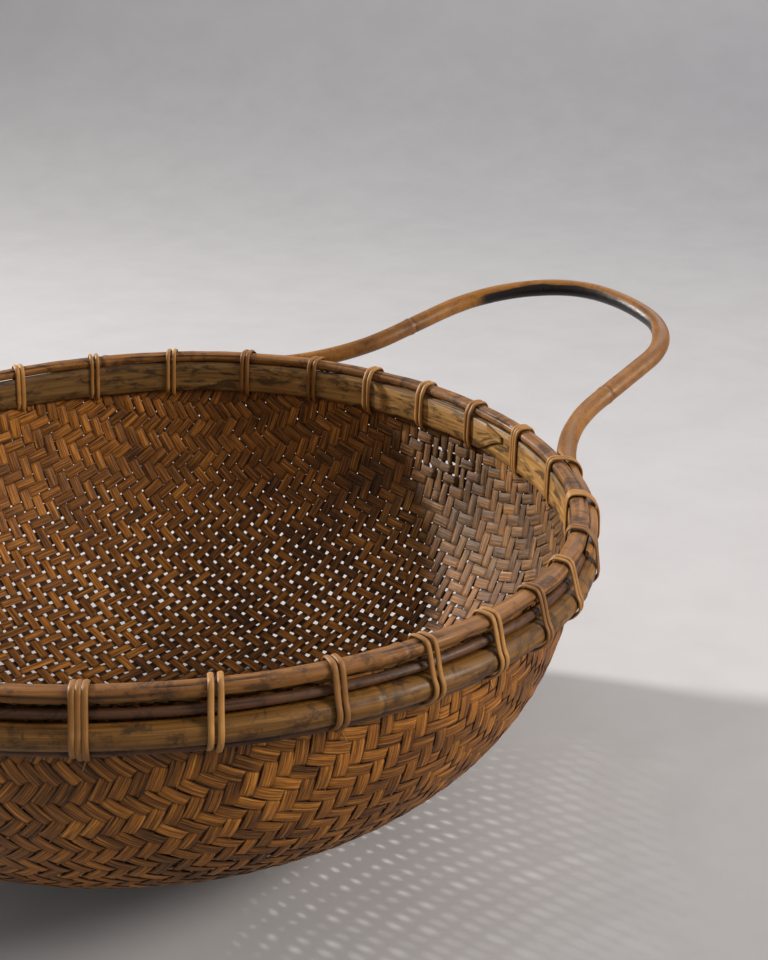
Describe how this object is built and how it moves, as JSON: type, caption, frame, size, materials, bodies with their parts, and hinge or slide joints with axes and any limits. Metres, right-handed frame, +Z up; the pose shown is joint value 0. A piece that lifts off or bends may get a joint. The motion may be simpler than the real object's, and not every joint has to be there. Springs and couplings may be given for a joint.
{
  "type": "woven winnowing basket",
  "caption": "Round deep-bowled basket of twill-woven split bamboo with a lashed hoop rim and a bent pole loop handle at each side, for tossing, sifting and carrying grain.",
  "frame": {"origin": "centre of the flat base where it meets the floor", "axes": "+Z up out of the bowl's mouth, +X through the middle of one handle, -X through the middle of the other"},
  "size_m": [0.795, 0.5026, 0.2229],
  "materials": {
    "bamboo_weave": "satin, aged brown split bamboo",
    "lath": "matt, grey-brown bamboo lath",
    "rim_strand": "semi-gloss orange-brown cane",
    "dark_strand": "satin dark brown cane",
    "outer_hoop": "semi-gloss golden brown bamboo",
    "handle_pole": "semi-gloss orange-brown pole, black where worn",
    "cane": "satin golden split cane"
  },
  "bodies": {
    "root": {"woven_bowl": "bamboo_weave", "inner_lath": "lath", "top_strand": "rim_strand", "middle_strand": "dark_strand", "outer_hoop": "outer_hoop", "lower_strand": "dark_strand", "handle_right": "handle_pole", "handle_left": "handle_pole", "lashing_01": "cane", "lashing_02": "cane", "lashing_03": "cane", "lashing_04": "cane", "lashing_05": "cane", "lashing_06": "cane", "lashing_07": "cane", "lashing_08": "cane", "lashing_09": "cane", "lashing_10": "cane", "lashing_11": "cane", "lashing_12": "cane", "lashing_13": "cane", "lashing_14": "cane", "lashing_15": "cane", "lashing_16": "cane", "lashing_17": "cane", "lashing_18": "cane", "lashing_19": "cane", "lashing_20": "cane", "lashing_21": "cane", "lashing_22": "cane", "lashing_23": "cane", "lashing_24": "cane", "lashing_25": "cane", "lashing_26": "cane", "lashing_27": "cane", "lashing_28": "cane", "lashing_29": "cane", "lashing_30": "cane", "lashing_31": "cane", "lashing_32": "cane"}
  },
  "joints": []
}
